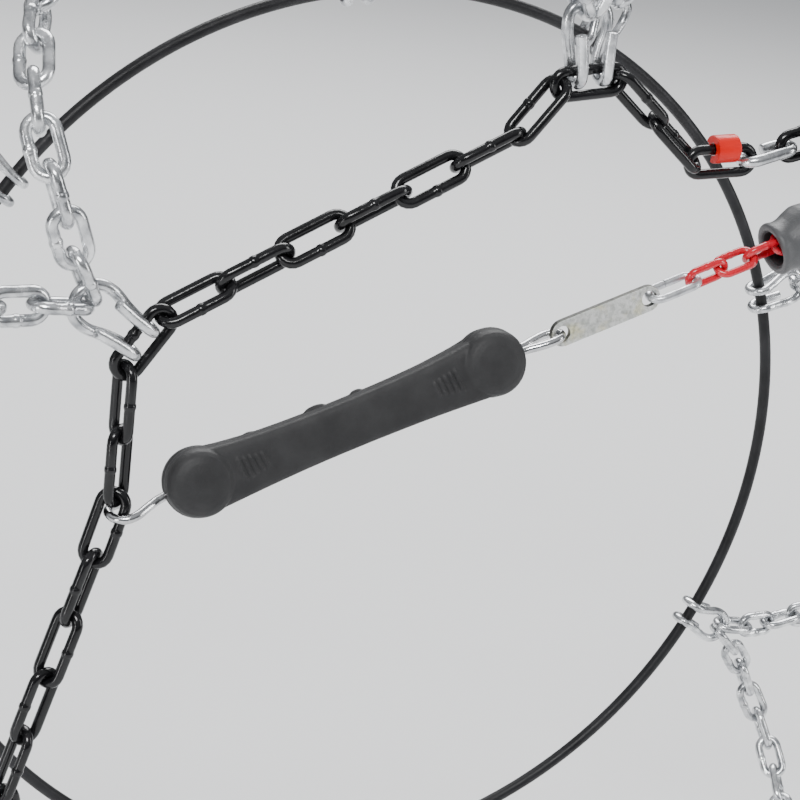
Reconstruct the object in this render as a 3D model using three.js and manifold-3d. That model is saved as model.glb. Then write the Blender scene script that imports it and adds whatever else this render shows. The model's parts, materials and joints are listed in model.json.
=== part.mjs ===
// Snow chains in the shape they take when fitted round a tyre. Millimetres, +Z up.
// The origin is the centre of the wheel that they fit: the axle runs along Y, and the
// outer face of the wheel looks along -Y. The tyre and the wheel are not part of the model.
//
// Side chain, tread strands and red chain are real chains. Where many like links follow each
// other they are drawn as one plain round run; links that something hooks into are drawn whole.

import * as THREE from 'three';
import { mergeVertices } from 'three/addons/utils/BufferGeometryUtils.js';
import Module from 'manifold-3d';

const wasm = await Module();
wasm.setup();

// ---- driving dimensions ----------------------------------------------------------------

const SIDE_Y = -114; // plane of the outer side chain
const INNER_Y = 118; // plane of the inner cable
const TREAD_RADIUS = 337; // middle of the strands where they cross the tread
const HOOK_RADIUS = 237; // centre of the side links that the tread hooks hold
const CABLE_RADIUS = 232;
const GAP = 0.3; // air between touching parts

const HOOK_ANGLES = [144.8, 98, 65.8, 20.4, -26.4, -73.4, -121, -168]; // degrees, clockwise

const SIDE_WIRE = 4;
const RUN_DIAMETER = 3.2; // a plain run in place of many side links
const SIDE_PITCH = 24;
const SIDE_WIDTH = 5.5; // inside width of a side link
const STRAND_WIRE = 4.4;
const STRAND_DIAMETER = 3.4; // a plain run in place of a tread chain

const RED_WIRE = 3;
const RED_PITCH = 13;
const RED_WIDTH = 4;
const RED_LINKS = 4;

// The tightening line: it starts where the rubber tensioner begins, and rises to the right.
const LINE_START = new THREE.Vector3(-180.9, SIDE_Y, 78.4);
const LINE_TILT = THREE.MathUtils.degToRad(21.5);
const LINE_DIR = new THREE.Vector3(Math.cos(LINE_TILT), 0, Math.sin(LINE_TILT));
const LINE_UP = new THREE.Vector3(-Math.sin(LINE_TILT), 0, Math.cos(LINE_TILT));

const BULB_RADIUS = 13;
const BULB_DEPTH = 10.5; // half the thickness of the bulb, along Y
const BULB_RINGS = 8;
const TENSIONER_LENGTH = 145.5;
const STRAP_WIDTH = 16.5;
const STRAP_DEPTH = 12;
const FLANGE_WIDTH = 21;
const FLANGE_DEPTH = 3;

const EYE_WIRE = 3.2;
const HOOK_WIRE = 3.4;
const PLATE_START = 158.5;
const PLATE_LENGTH = 47.5;
const PLATE_WIDTH = 10.5;
const PLATE_THICKNESS = 2.5;
const PLATE_HOLE = 6.5;

const MOUTH = 259.6; // where the ratchet's mouth opens, along the line
const DISC_CENTRE = 294;
const DISC_RADIUS = 25;
const DISC_ROOM = 20.5; // radius of the hollow
const HOUSING_DEPTH = 11; // each half of the housing
const WALL = 3;
const NOZZLE_RADIUS = 10.6;
const BUSH_OUTER = 8.4;
const BUSH_BORE = 5.9;
const ROLLER_RADIUS = 10.8;
const ROLLER_DROP = 17.3; // the roller's axle lies this far below the red chain
const AXLE_RADIUS = 2.6;
const PIN_RADIUS = 1.8;
const AXLE_HEAD = 4.6;
const PIN_HEAD = 2.6;
const HEAD_HEIGHT = 1.6; // rivet heads, sunk level with the housing's faces
const LEVER_WIDTH = 5;

// ---- materials -------------------------------------------------------------------------

const finish = (color, roughness, metalness) => () =>
  new THREE.MeshStandardMaterial({ color, roughness, metalness });
const blackPaint = finish(0x0b0b0c, 0.25, 0.3);
const zinc = finish(0xd6d9dc, 0.3, 0.9);
const yellowZinc = finish(0xc3c4b4, 0.4, 0.85);
const darkRubber = finish(0x2d2d2e, 0.75, 0);
const redPaint = finish(0xd8202c, 0.3, 0.1);
const redPlastic = finish(0xe02a1c, 0.35, 0);
const greyPlastic = finish(0x6f7173, 0.45, 0);
const darkPlastic = finish(0x3a3b3d, 0.5, 0);
const cableCoat = finish(0x1d1f22, 0.45, 0);

// ---- places ----------------------------------------------------------------------------

// A point beside the hook at a wheel angle: outward from the axle, and round it clockwise.
function atHook(degrees, outward, round, y) {
  const a = THREE.MathUtils.degToRad(degrees);
  return new THREE.Vector3(
    outward * Math.cos(a) + round * Math.sin(a),
    y,
    outward * Math.sin(a) - round * Math.cos(a),
  );
}

// A point in cylindrical coordinates round the axle.
const onWheel = (degrees, radius, y) => atHook(degrees, radius, 0, y);

// A point on the tightening line: along it, towards -Y or +Y of it, and above it.
function onLine(along, y = 0, up = 0) {
  return LINE_START.clone()
    .addScaledVector(LINE_DIR, along)
    .addScaledVector(LINE_UP, up)
    .add(new THREE.Vector3(0, y, 0));
}

// Turns a piece drawn along X, with its face towards Z, to lie along a direction.
// Roll 0 faces it towards -Y.
function lay(mesh, centre, along, rollDegrees = 0) {
  const x = along.clone().normalize();
  const front = new THREE.Vector3(0, -1, 0);
  const z = front.addScaledVector(x, -front.dot(x)).normalize();
  z.applyAxisAngle(x, THREE.MathUtils.degToRad(rollDegrees));
  const y = new THREE.Vector3().crossVectors(z, x);
  mesh.applyMatrix4(new THREE.Matrix4().makeBasis(x, y, z).setPosition(centre));
  return mesh;
}

// ---- shapes ----------------------------------------------------------------------------

// Round wire or rod through a list of points.
function rod(points, diameter, steps, sides = 6) {
  const section = new THREE.Shape();
  for (let i = 0; i < sides; i += 1) {
    const a = (2 * Math.PI * i) / sides;
    const corner = [Math.cos(a) * diameter / 2, Math.sin(a) * diameter / 2];
    if (i === 0) section.moveTo(...corner);
    else section.lineTo(...corner);
  }
  section.closePath();
  const extrudePath = new THREE.CatmullRomCurve3(points, false, 'centripetal');
  return new THREE.ExtrudeGeometry(section, { extrudePath, steps, bevelEnabled: false });
}

// A chain link: a torus pulled apart in the middle. It lies along X, with its face on Z.
// The number of segments leaves no corner in the middle of a bar.
function link(innerLength, innerWidth, wire, sides = 6, segments = 14) {
  const radius = (innerWidth + wire) / 2;
  const torus = new THREE.TorusGeometry(radius, wire / 2, sides, segments);
  const stretch = (innerLength - innerWidth) / 2;
  const place = torus.attributes.position;
  for (let i = 0; i < place.count; i += 1) {
    place.setX(i, place.getX(i) + Math.sign(place.getX(i)) * stretch);
  }
  return torus;
}

// The centreline of a link with a slit in its upper bar, as points for a rod, on XY.
function slitLink(innerLength, innerWidth, wire, slitAt, slit) {
  const radius = (innerWidth + wire) / 2;
  const half = (innerLength - innerWidth) / 2;
  const points = [[slitAt - slit / 2, radius]];
  for (let i = 0; i <= 6; i += 1) {
    const a = Math.PI / 2 + (Math.PI * i) / 6;
    points.push([-half + radius * Math.cos(a), radius * Math.sin(a)]);
  }
  for (let i = 0; i <= 6; i += 1) {
    const a = -Math.PI / 2 + (Math.PI * i) / 6;
    points.push([half + radius * Math.cos(a), radius * Math.sin(a)]);
  }
  points.push([slitAt + slit / 2, radius]);
  return points.map(([x, y]) => new THREE.Vector3(x, y, 0));
}

function bar(width, height, depth, centre) {
  return new THREE.BoxGeometry(width, height, depth).translate(...centre);
}

// A round bar on Z.
function disc(radius, depth, segments, centre = [0, 0, 0]) {
  const geometry = new THREE.CylinderGeometry(radius, radius, depth, segments);
  return geometry.rotateX(Math.PI / 2).translate(...centre);
}

// A round bar on X.
function shaft(radius, from, to, segments, y = 0, z = 0) {
  const geometry = new THREE.CylinderGeometry(radius, radius, to - from, segments);
  return geometry.rotateZ(Math.PI / 2).translate((from + to) / 2, y, z);
}

// ---- cutting and joining ---------------------------------------------------------------

function toSolid(geometry) {
  const bare = geometry.clone();
  bare.deleteAttribute('normal');
  bare.deleteAttribute('uv');
  const merged = mergeVertices(bare, 1e-4);
  const mesh = new wasm.Mesh({
    numProp: 3,
    vertProperties: new Float32Array(merged.attributes.position.array),
    triVerts: new Uint32Array(merged.index.array),
  });
  return new wasm.Manifold(mesh);
}

function toGeometry(solid) {
  const { vertProperties, triVerts } = solid.getMesh();
  const geometry = new THREE.BufferGeometry();
  geometry.setAttribute('position', new THREE.BufferAttribute(vertProperties, 3));
  geometry.setIndex(new THREE.BufferAttribute(triVerts, 1));
  geometry.computeVertexNormals();
  return geometry;
}

const join = (...pieces) => pieces.map(toSolid).reduce((whole, piece) => whole.add(piece));
const cut = (solid, ...tools) => tools.map(toSolid).reduce((left, tool) => left.subtract(tool), solid);

// ---- assembly --------------------------------------------------------------------------

const chains = new THREE.Group();

function add(name, geometry, material) {
  const mesh = new THREE.Mesh(geometry, material());
  mesh.name = name;
  chains.add(mesh);
  return mesh;
}

function addLink(name, from, to, roll, slack = 2 * GAP) {
  const along = to.clone().sub(from);
  const geometry = link(along.length() + slack, SIDE_WIDTH, SIDE_WIRE);
  return lay(add(name, geometry, blackPaint), from.clone().lerp(to, 0.5), along, roll);
}

// ---- tread hooks and strands -----------------------------------------------------------

const HOOK_BAR = HOOK_RADIUS + (SIDE_WIDTH + SIDE_WIRE) / 2 - 0.05; // bar that a tread hook curls round
const CURL_RADIUS = (SIDE_WIRE + STRAND_WIRE) / 2 + 0.6;
const ARCH_CENTRE = 258.5;
const ARCH_RADIUS = 8.2;
const ARCH_Y = SIDE_Y + 2;

// One hairpin of wire: its round end is the arch that holds two strands. Both legs pass
// behind the side link, curl round its outer bar and come back over the front.
function treadHook(degrees) {
  const half = [
    [6.2, 255.5, SIDE_Y - 5.8],
    [5.4, 247.5, SIDE_Y - 5.2],
  ];
  for (const turn of [90, 45, 0, -45, -90]) {
    const a = THREE.MathUtils.degToRad(turn);
    half.push([5.2, HOOK_BAR - CURL_RADIUS * Math.cos(a), SIDE_Y - CURL_RADIUS * Math.sin(a)]);
  }
  half.push([6.2, 248, SIDE_Y + 4.2]);
  for (const turn of [-10, 35]) {
    const a = THREE.MathUtils.degToRad(turn);
    half.push([ARCH_RADIUS * Math.cos(a), ARCH_CENTRE + ARCH_RADIUS * Math.sin(a), ARCH_Y]);
  }
  const left = half.map(([round, out, y]) => atHook(degrees, out, -round, y));
  const right = half.map(([round, out, y]) => atHook(degrees, out, round, y)).reverse();
  const top = atHook(degrees, ARCH_CENTRE + ARCH_RADIUS, 0, ARCH_Y);
  return rod([...left, top, ...right], STRAND_WIRE, 32, 6);
}

// Half a strand from beside its hook, over the shoulder, to the middle of the tread.
// Each row is the share of the way to the next hook, the radius and the distance from SIDE_Y.
const STRAND_ROUTE = [
  [0.1, 280, 5],
  [0.19, 297, 7],
  [0.3, 318, -1],
  [0.48, 335, -30],
  [0.72, TREAD_RADIUS, -72],
  [0.955, TREAD_RADIUS, -108],
];

// Side -1 is the outer side of the tyre, and side 1 the inner side.
function strandArm(degrees, spread, side) {
  return STRAND_ROUTE.map(([share, radius, out]) =>
    onWheel(degrees + spread * share, radius, side * (Math.abs(SIDE_Y) + out)));
}

// The two strands that hang in one hook, as a single run through its arch.
function outerStrands(degrees, before, after) {
  const through = [
    atHook(degrees, 272, -8, ARCH_Y - 9),
    atHook(degrees, 262, -3, ARCH_Y - 7.5),
    atHook(degrees, ARCH_CENTRE, 0, ARCH_Y),
    atHook(degrees, 262, 3, ARCH_Y + 7.5),
    atHook(degrees, 272, 8, ARCH_Y + 9),
  ];
  const left = strandArm(degrees, before, -1).reverse();
  const right = strandArm(degrees, -after, -1);
  return rod([...left, ...through, ...right], STRAND_DIAMETER, 30, 5);
}

// The same on the inner side, where the strands turn round the cable itself.
function innerStrands(degrees, before, after) {
  const turn = [
    atHook(degrees, 262, -11, INNER_Y + 1),
    atHook(degrees, CABLE_RADIUS + 3, -4, INNER_Y - 11),
    atHook(degrees, CABLE_RADIUS - 10, 0, INNER_Y),
    atHook(degrees, CABLE_RADIUS + 3, 4, INNER_Y + 11),
    atHook(degrees, 262, 11, INNER_Y + 3),
  ];
  const left = strandArm(degrees, before, 1).reverse();
  const right = strandArm(degrees, -after, 1);
  return rod([...left, ...turn, ...right], STRAND_DIAMETER, 28, 5);
}

const hookCount = HOOK_ANGLES.length;
HOOK_ANGLES.forEach((degrees, i) => {
  const wrap = (value) => ((value % 360) + 360) % 360;
  const before = wrap(HOOK_ANGLES[(i + hookCount - 1) % hookCount] - degrees) / 2;
  const after = wrap(degrees - HOOK_ANGLES[(i + 1) % hookCount]) / 2;
  add(`outer_hook_${i + 1}`, treadHook(degrees), zinc);
  add(`outer_strands_${i + 1}`, outerStrands(degrees, before, after), zinc);
  add(`inner_strands_${i + 1}`, innerStrands(degrees, before, after), zinc);
});

// ---- side chain ------------------------------------------------------------------------

// Round the wheel from a hook: through its curl, and then inward to the line of the links.
function leaveHook(degrees, way) {
  return [
    atHook(degrees, HOOK_BAR, way * 0.3, SIDE_Y),
    atHook(degrees, HOOK_BAR, way * 9, SIDE_Y),
    atHook(degrees, HOOK_RADIUS + 2, way * 16, SIDE_Y),
  ];
}

function sideRun(name, points) {
  const steps = Math.round(new THREE.CatmullRomCurve3(points).getLength() / 16);
  return add(name, rod(points, RUN_DIAMETER, steps), blackPaint);
}

const [hook1, hook2, hook3] = HOOK_ANGLES;
const hook8 = HOOK_ANGLES[hookCount - 1];
const down = new THREE.Vector3(0, 0, -1);

// Where the next link starts when the chain turns sharply: its crown stays on the axis of the
// face-on link, whose opening is narrow in the plane of the turn.
function turnAt(joint, faceOn, edgeOn) {
  return joint.clone().addScaledVector(faceOn, -SIDE_WIRE / 2).addScaledVector(edgeOn, SIDE_WIRE / 2);
}

// The links between the first hook and the tensioner's hook, which pulls the chain inward.
const held = [-1, 1].map((way) => atHook(hook1, HOOK_RADIUS, (way * SIDE_PITCH) / 2, SIDE_Y));
const heldDir = held[0].clone().sub(held[1]).normalize();
const lastDir = new THREE.Vector3(-0.27, 0, -0.963).normalize();
const joint1 = turnAt(held[0], heldDir, down);
const joint2 = joint1.clone().addScaledVector(down, SIDE_PITCH);
const joint3 = joint2.clone().addScaledVector(down, SIDE_PITCH);
const joint5 = joint3.clone().addScaledVector(lastDir, SIDE_PITCH);
addLink('side_link_1', held[0], held[1], 0);
addLink('side_link_2', joint1, joint2, 75);
addLink('side_link_3', joint2, joint3, 140);
addLink('side_link_4', joint3, joint5, 31, 3 * GAP);

// The closing link in the dip between the second and the third hook.
const closeLeft = new THREE.Vector3(16.5, SIDE_Y, 205.5);
const closeRight = new THREE.Vector3(40.5, SIDE_Y, 207.5);
const closeDir = closeRight.clone().sub(closeLeft).normalize();
addLink('closing_link', closeLeft, closeRight, 0);

// Ends of the plain runs stop a link's wire short of the links that they join.
const short = (from, to, length) => from.clone().lerp(to, length / from.distanceTo(to));
const RUN_START = SIDE_WIRE + 4 * GAP;

sideRun('side_run_1', [
  short(held[1], onWheel(122, 219, SIDE_Y), RUN_START),
  onWheel(122, 219.5, SIDE_Y),
  ...leaveHook(hook2, -1).reverse(),
]);
sideRun('side_run_2', [
  ...leaveHook(hook2, 1),
  short(closeLeft, atHook(hook2, HOOK_RADIUS, 16, SIDE_Y), RUN_START),
]);
for (let i = 3; i < hookCount; i += 1) {
  const from = leaveHook(HOOK_ANGLES[i - 1], 1);
  const to = leaveHook(HOOK_ANGLES[i], -1).reverse();
  sideRun(`side_run_${i + 1}`, [...from, ...to]);
}
sideRun('side_run_9', [
  short(joint5, atHook(hook8, HOOK_RADIUS, 16, SIDE_Y), RUN_START),
  ...leaveHook(hook8, 1).reverse(),
]);

// ---- closure ---------------------------------------------------------------------------

const CLOSING_LENGTH = 17; // inside length of the closing hook
const closingDir = new THREE.Vector3(0.955, 0, 0.296);
const closingCentre = closeRight.clone().addScaledVector(closingDir, CLOSING_LENGTH / 2 - GAP);
const closingEnd = closeRight.clone().addScaledVector(closingDir, CLOSING_LENGTH - 2 * GAP);
const closingShape = rod(slitLink(CLOSING_LENGTH, 5.6, STRAND_WIRE, -1, 4.6), STRAND_WIRE, 36);
lay(add('closing_hook', closingShape, zinc), closingCentre, closingDir, 90);

sideRun('side_run_3', [
  short(closingEnd, atHook(hook3, HOOK_RADIUS, -16, SIDE_Y), RUN_START),
  ...leaveHook(hook3, -1).reverse(),
]);

// A plastic clip on the closing link's upper bar shows which link to hook into.
const CLIP_OUTER = 5.4;
const CLIP_INNER = 2.5;
const CLIP_LENGTH = 9.5;
const CLIP_OPEN = THREE.MathUtils.degToRad(50); // half of its opening

function clipShape() {
  const shape = new THREE.Shape();
  shape.absarc(0, 0, CLIP_OUTER, CLIP_OPEN, 2 * Math.PI - CLIP_OPEN, false);
  shape.absarc(0, 0, CLIP_INNER, 2 * Math.PI - CLIP_OPEN, CLIP_OPEN, true);
  shape.closePath();
  const geometry = new THREE.ExtrudeGeometry(shape, {
    depth: CLIP_LENGTH,
    bevelEnabled: false,
    curveSegments: 14,
  });
  return geometry.translate(0, 0, -CLIP_LENGTH / 2).rotateY(Math.PI / 2);
}
const closeUp = new THREE.Vector3(-closeDir.z, 0, closeDir.x);
const clipCentre = closeLeft.clone().lerp(closeRight, 0.5)
  .addScaledVector(closeUp, (SIDE_WIDTH + SIDE_WIRE) / 2)
  .addScaledVector(closeDir, 1);
lay(add('marker_clip', clipShape(), redPlastic), clipCentre, closeDir, 205);

// ---- rubber tensioner ------------------------------------------------------------------

// A flattened ball, on Z, for the two ends of the tensioner.
function bulb(centreX) {
  const profile = [];
  for (let i = 0; i <= BULB_RINGS; i += 1) {
    const a = -Math.PI / 2 + (Math.PI * i) / BULB_RINGS;
    const swell = i % BULB_RINGS ? Math.cos(a) ** 0.8 : 0;
    profile.push(new THREE.Vector2(BULB_RADIUS * swell, BULB_DEPTH * Math.sin(a)));
  }
  return new THREE.LatheGeometry(profile, 18).rotateX(Math.PI / 2).translate(centreX, 0, 0);
}

// Drawn along X with its front towards Z. Each end has a bore for its wire.
function tensioner() {
  const first = BULB_RADIUS;
  const last = TENSIONER_LENGTH - BULB_RADIUS;
  const middle = TENSIONER_LENGTH / 2;
  const solid = join(
    bulb(first),
    bulb(last),
    bar(last - first, STRAP_WIDTH, STRAP_DEPTH, [middle, 0, 0]),
    bar(last - first, FLANGE_WIDTH, FLANGE_DEPTH, [middle, 0, -STRAP_DEPTH / 2 - FLANGE_DEPTH / 2 + 1]),
  );
  return toGeometry(cut(
    solid,
    shaft(HOOK_WIRE / 2 + 0.4, -5, 13, 10),
    shaft(EYE_WIRE + 0.8, TENSIONER_LENGTH - 12, TENSIONER_LENGTH + 5, 12),
  ));
}
lay(add('rubber_tensioner', tensioner(), darkRubber), onLine(0), LINE_DIR);

// The wire that ties the tensioner to the side chain: it curls through link 4, round a bar.
const hookRoute = [
  [11, 0, 0], [4, 0, 0], [-3, -1.2, 0], [-9, -4.4, 0], [-13, -6.6, 0], [-17, -7, 0.4],
  [-20.3, -4.8, 1.2], [-21.4, -1.2, 1.8], [-21, 2.4, 1.9], [-18.4, 5, 1.4], [-13.5, 5.6, 0.5],
];
const tensionerHook = rod(hookRoute.map((place) => onLine(...place)), HOOK_WIRE, 32, 7);
add('tensioner_hook', tensionerHook, zinc);

const eyeRoute = [
  [137, 2], [147, 2], [152, 3.4], [157, 4.2], [161.2, 3.2], [162.9, 0],
];
const eyeFront = eyeRoute.map(([along, y]) => onLine(along, -y));
const eyeBack = eyeRoute.slice(0, -1).map(([along, y]) => onLine(along, y)).reverse();
add('tensioner_eye', rod([...eyeFront, ...eyeBack], EYE_WIRE, 30, 7), zinc);

// ---- adjuster plate, repair link and red chain -----------------------------------------

function plate() {
  const end = PLATE_WIDTH / 2;
  const half = PLATE_LENGTH / 2 - end;
  const shape = new THREE.Shape();
  shape.absarc(half, 0, end, -Math.PI / 2, Math.PI / 2, false);
  shape.absarc(-half, 0, end, Math.PI / 2, (3 * Math.PI) / 2, false);
  shape.closePath();
  for (const side of [-1, 1]) {
    shape.holes.push(new THREE.Path().absarc(side * half, 0, PLATE_HOLE / 2, 0, 2 * Math.PI, true));
  }
  const options = { depth: PLATE_THICKNESS, bevelEnabled: false, curveSegments: 10 };
  return new THREE.ExtrudeGeometry(shape, options).translate(0, 0, -PLATE_THICKNESS / 2);
}
lay(add('adjuster_plate', plate(), yellowZinc), onLine(PLATE_START + PLATE_LENGTH / 2), LINE_DIR);

const REPAIR_LENGTH = 17.6; // inside
const REPAIR_CROWN = PLATE_START + PLATE_LENGTH - PLATE_WIDTH / 2 + PLATE_HOLE / 2 - GAP - EYE_WIRE;
const repairShape = rod(slitLink(REPAIR_LENGTH, 5.2, EYE_WIRE, -1.5, 0.6), EYE_WIRE, 36);
const repairLink = add('repair_link', repairShape, zinc);
lay(repairLink, onLine(REPAIR_CROWN + EYE_WIRE + REPAIR_LENGTH / 2), LINE_DIR, 90);

// Each red link lies across the one before it, but the slack chain has twisted a little.
const RED_ROLLS = [12, -68, 20, 102];
const redStart = REPAIR_CROWN + EYE_WIRE + REPAIR_LENGTH - GAP;
for (let i = 0; i < RED_LINKS; i += 1) {
  const middle = redStart + (i + 0.5) * RED_PITCH;
  const mesh = add(`red_link_${i + 1}`, link(RED_PITCH + GAP, RED_WIDTH, RED_WIRE), redPaint);
  lay(mesh, onLine(middle), LINE_DIR, RED_ROLLS[i]);
}

// ---- ratchet ---------------------------------------------------------------------------

// Everything here is drawn from the mouth: X along the line, Y up from it, Z to the front.
const DISC_X = DISC_CENTRE - MOUTH;
const NOZZLE_END = 18;
const NECK = 4;

// The outline of a housing half: a round body with a neck that ends in the mouth.
function housingOutline() {
  const shape = new THREE.Shape();
  shape.moveTo(0, -NOZZLE_RADIUS);
  shape.lineTo(NECK, -NOZZLE_RADIUS);
  shape.absarc(DISC_X, -ROLLER_DROP / 2, DISC_RADIUS, 1.2 * Math.PI, 2.7 * Math.PI, false);
  shape.lineTo(NECK, NOZZLE_RADIUS);
  shape.lineTo(0, NOZZLE_RADIUS);
  shape.closePath();
  return shape;
}

function housingHalf(side) {
  const outer = new THREE.ExtrudeGeometry(housingOutline(), {
    depth: HOUSING_DEPTH - GAP / 2,
    bevelEnabled: false,
    curveSegments: 22,
  });
  outer.translate(0, 0, GAP / 2);
  const room = disc(DISC_ROOM, 2 * (HOUSING_DEPTH - WALL), 22, [DISC_X, -ROLLER_DROP / 2, 0]);
  const tools = [
    room,
    shaft(BUSH_OUTER + GAP, -5, NOZZLE_END, 16),
    shaft(BUSH_OUTER + GAP, DISC_X, DISC_X + 40, 16),
    disc(AXLE_RADIUS + GAP, 60, 14, [DISC_X, -ROLLER_DROP, 0]),
    disc(PIN_RADIUS + GAP, 60, 12, [LEVER_X, LEVER_Y, 0]),
    disc(AXLE_HEAD + GAP, 2 * (HEAD_HEIGHT + GAP), 16, [DISC_X, -ROLLER_DROP, HOUSING_DEPTH]),
    disc(PIN_HEAD + GAP, 2 * (HEAD_HEIGHT + GAP), 16, [LEVER_X, LEVER_Y, HOUSING_DEPTH]),
    bar(18, 22, LEVER_WIDTH + 2 * GAP, [LEVER_X + 4, LEVER_Y - 6, 0]),
  ];
  const solid = toSolid(outer);
  const half = cut(solid, ...tools);
  return toGeometry(side > 0 ? half : half.mirror([0, 0, 1]));
}

// The release lever swings on its pin in a slot at the bottom of the housing.
const LEVER_X = DISC_X - 8;
const LEVER_Y = -ROLLER_DROP / 2 - 21.4;

function lever() {
  const shape = new THREE.Shape();
  shape.absarc(0, 0, 3.4, 0.2, Math.PI - 0.2, false);
  shape.lineTo(-3.4, -2);
  shape.lineTo(-1.5, -10);
  shape.lineTo(5.5, -11.5);
  shape.lineTo(6, -8.5);
  shape.lineTo(3.2, -5);
  shape.closePath();
  const options = { depth: LEVER_WIDTH, bevelEnabled: false, curveSegments: 12 };
  const body = new THREE.ExtrudeGeometry(shape, options).translate(0, 0, -LEVER_WIDTH / 2);
  return toGeometry(cut(toSolid(body), disc(PIN_RADIUS + GAP, 20, 12)));
}

// A pulley with a groove for the red chain.
function roller() {
  const bore = AXLE_RADIUS + GAP;
  const profile = [
    [bore, -6], [ROLLER_RADIUS, -6], [ROLLER_RADIUS, -3.4], [ROLLER_RADIUS - 2.4, -2.2],
    [ROLLER_RADIUS - 2.4, 2.2], [ROLLER_RADIUS, 3.4], [ROLLER_RADIUS, 6], [bore, 6], [bore, -6],
  ];
  const points = profile.map(([radius, along]) => new THREE.Vector2(radius, along));
  return new THREE.LatheGeometry(points, 22).rotateX(Math.PI / 2);
}

// A rivet through both halves, with a flat head on each side.
function rivet(radius, head, length) {
  const half = length / 2;
  const profile = [
    [0, -half - HEAD_HEIGHT], [head, -half - HEAD_HEIGHT], [head, -half], [radius, -half],
    [radius, half], [head, half], [head, half + HEAD_HEIGHT], [0, half + HEAD_HEIGHT],
  ];
  const points = profile.map(([r, along]) => new THREE.Vector2(r, along));
  return new THREE.LatheGeometry(points, 16).rotateX(Math.PI / 2);
}

function bush() {
  const profile = [
    [BUSH_BORE, 0], [BUSH_OUTER, 0], [BUSH_OUTER, NOZZLE_END - 2], [BUSH_BORE, NOZZLE_END - 2],
    [BUSH_BORE, 0],
  ];
  const points = profile.map(([radius, along]) => new THREE.Vector2(radius, along));
  return new THREE.LatheGeometry(points, 18).rotateZ(-Math.PI / 2);
}

const ratchetPiece = (name, geometry, material) =>
  lay(add(name, geometry, material), onLine(MOUTH), LINE_DIR);

const RIVET_LENGTH = 2 * (HOUSING_DEPTH - HEAD_HEIGHT);
ratchetPiece('ratchet_housing_front', housingHalf(1), greyPlastic);
ratchetPiece('ratchet_housing_back', housingHalf(-1), greyPlastic);
ratchetPiece('entry_bush', bush(), darkPlastic);
ratchetPiece('chain_roller', roller().translate(DISC_X, -ROLLER_DROP, 0), darkPlastic);
const axle = rivet(AXLE_RADIUS, AXLE_HEAD, RIVET_LENGTH).translate(DISC_X, -ROLLER_DROP, 0);
ratchetPiece('roller_axle', axle, zinc);
ratchetPiece('release_lever', lever().translate(LEVER_X, LEVER_Y, 0), redPlastic);
const leverPin = rivet(PIN_RADIUS, PIN_HEAD, RIVET_LENGTH).translate(LEVER_X, LEVER_Y, 0);
ratchetPiece('lever_pin', leverPin, zinc);

// A loose black link hangs the ratchet from the side chain.
addLink('anchor_link', new THREE.Vector3(62, SIDE_Y - 9, 221), new THREE.Vector3(81, SIDE_Y - 9, 206.5), 20);

// ---- inner cable -----------------------------------------------------------------------

const CABLE_DIAMETER = 6;
const CABLE_STEPS = 56;
const CABLE_OPENING = 4.6; // degrees on each side of the connector at the bottom
const cableRoute = [];
for (let i = 0; i <= CABLE_STEPS; i += 1) {
  const turn = -90 + CABLE_OPENING + ((360 - 2 * CABLE_OPENING) * i) / CABLE_STEPS;
  cableRoute.push(onWheel(turn, CABLE_RADIUS, INNER_Y));
}
add('inner_cable', rod(cableRoute, CABLE_DIAMETER, CABLE_STEPS), cableCoat);

// A ball on one end of the cable sits in a slotted socket on the other end.
function cablePlug() {
  const profile = [
    [0, -18], [4.6, -18], [4.6, -6], [1.7, -4.5], [1.7, 4], [3.4, 5.6], [3.4, 8.4], [0, 10],
  ];
  const points = profile.map(([radius, along]) => new THREE.Vector2(radius, along));
  return new THREE.LatheGeometry(points, 14).rotateZ(-Math.PI / 2);
}

function cableSocket() {
  const outer = shaft(5.6, -2, 18, 14);
  return toGeometry(cut(
    toSolid(outer),
    shaft(4, 1.5, 13, 14),
    shaft(2.1, -5, 5, 12),
    bar(9, 8, 8, [7, 0, 5]),
    bar(8, 4.2, 8, [0, 0, 5]),
  ));
}
const cableLow = new THREE.Vector3(0, INNER_Y, -CABLE_RADIUS);
const along = new THREE.Vector3(1, 0, 0);
lay(add('cable_plug', cablePlug(), zinc), cableLow, along);
lay(add('cable_socket', cableSocket(), zinc), cableLow, along, 180);

export default chains;
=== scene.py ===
import json
import math

import bmesh
import bpy
import numpy as np
from mathutils import Matrix, Vector


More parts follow.
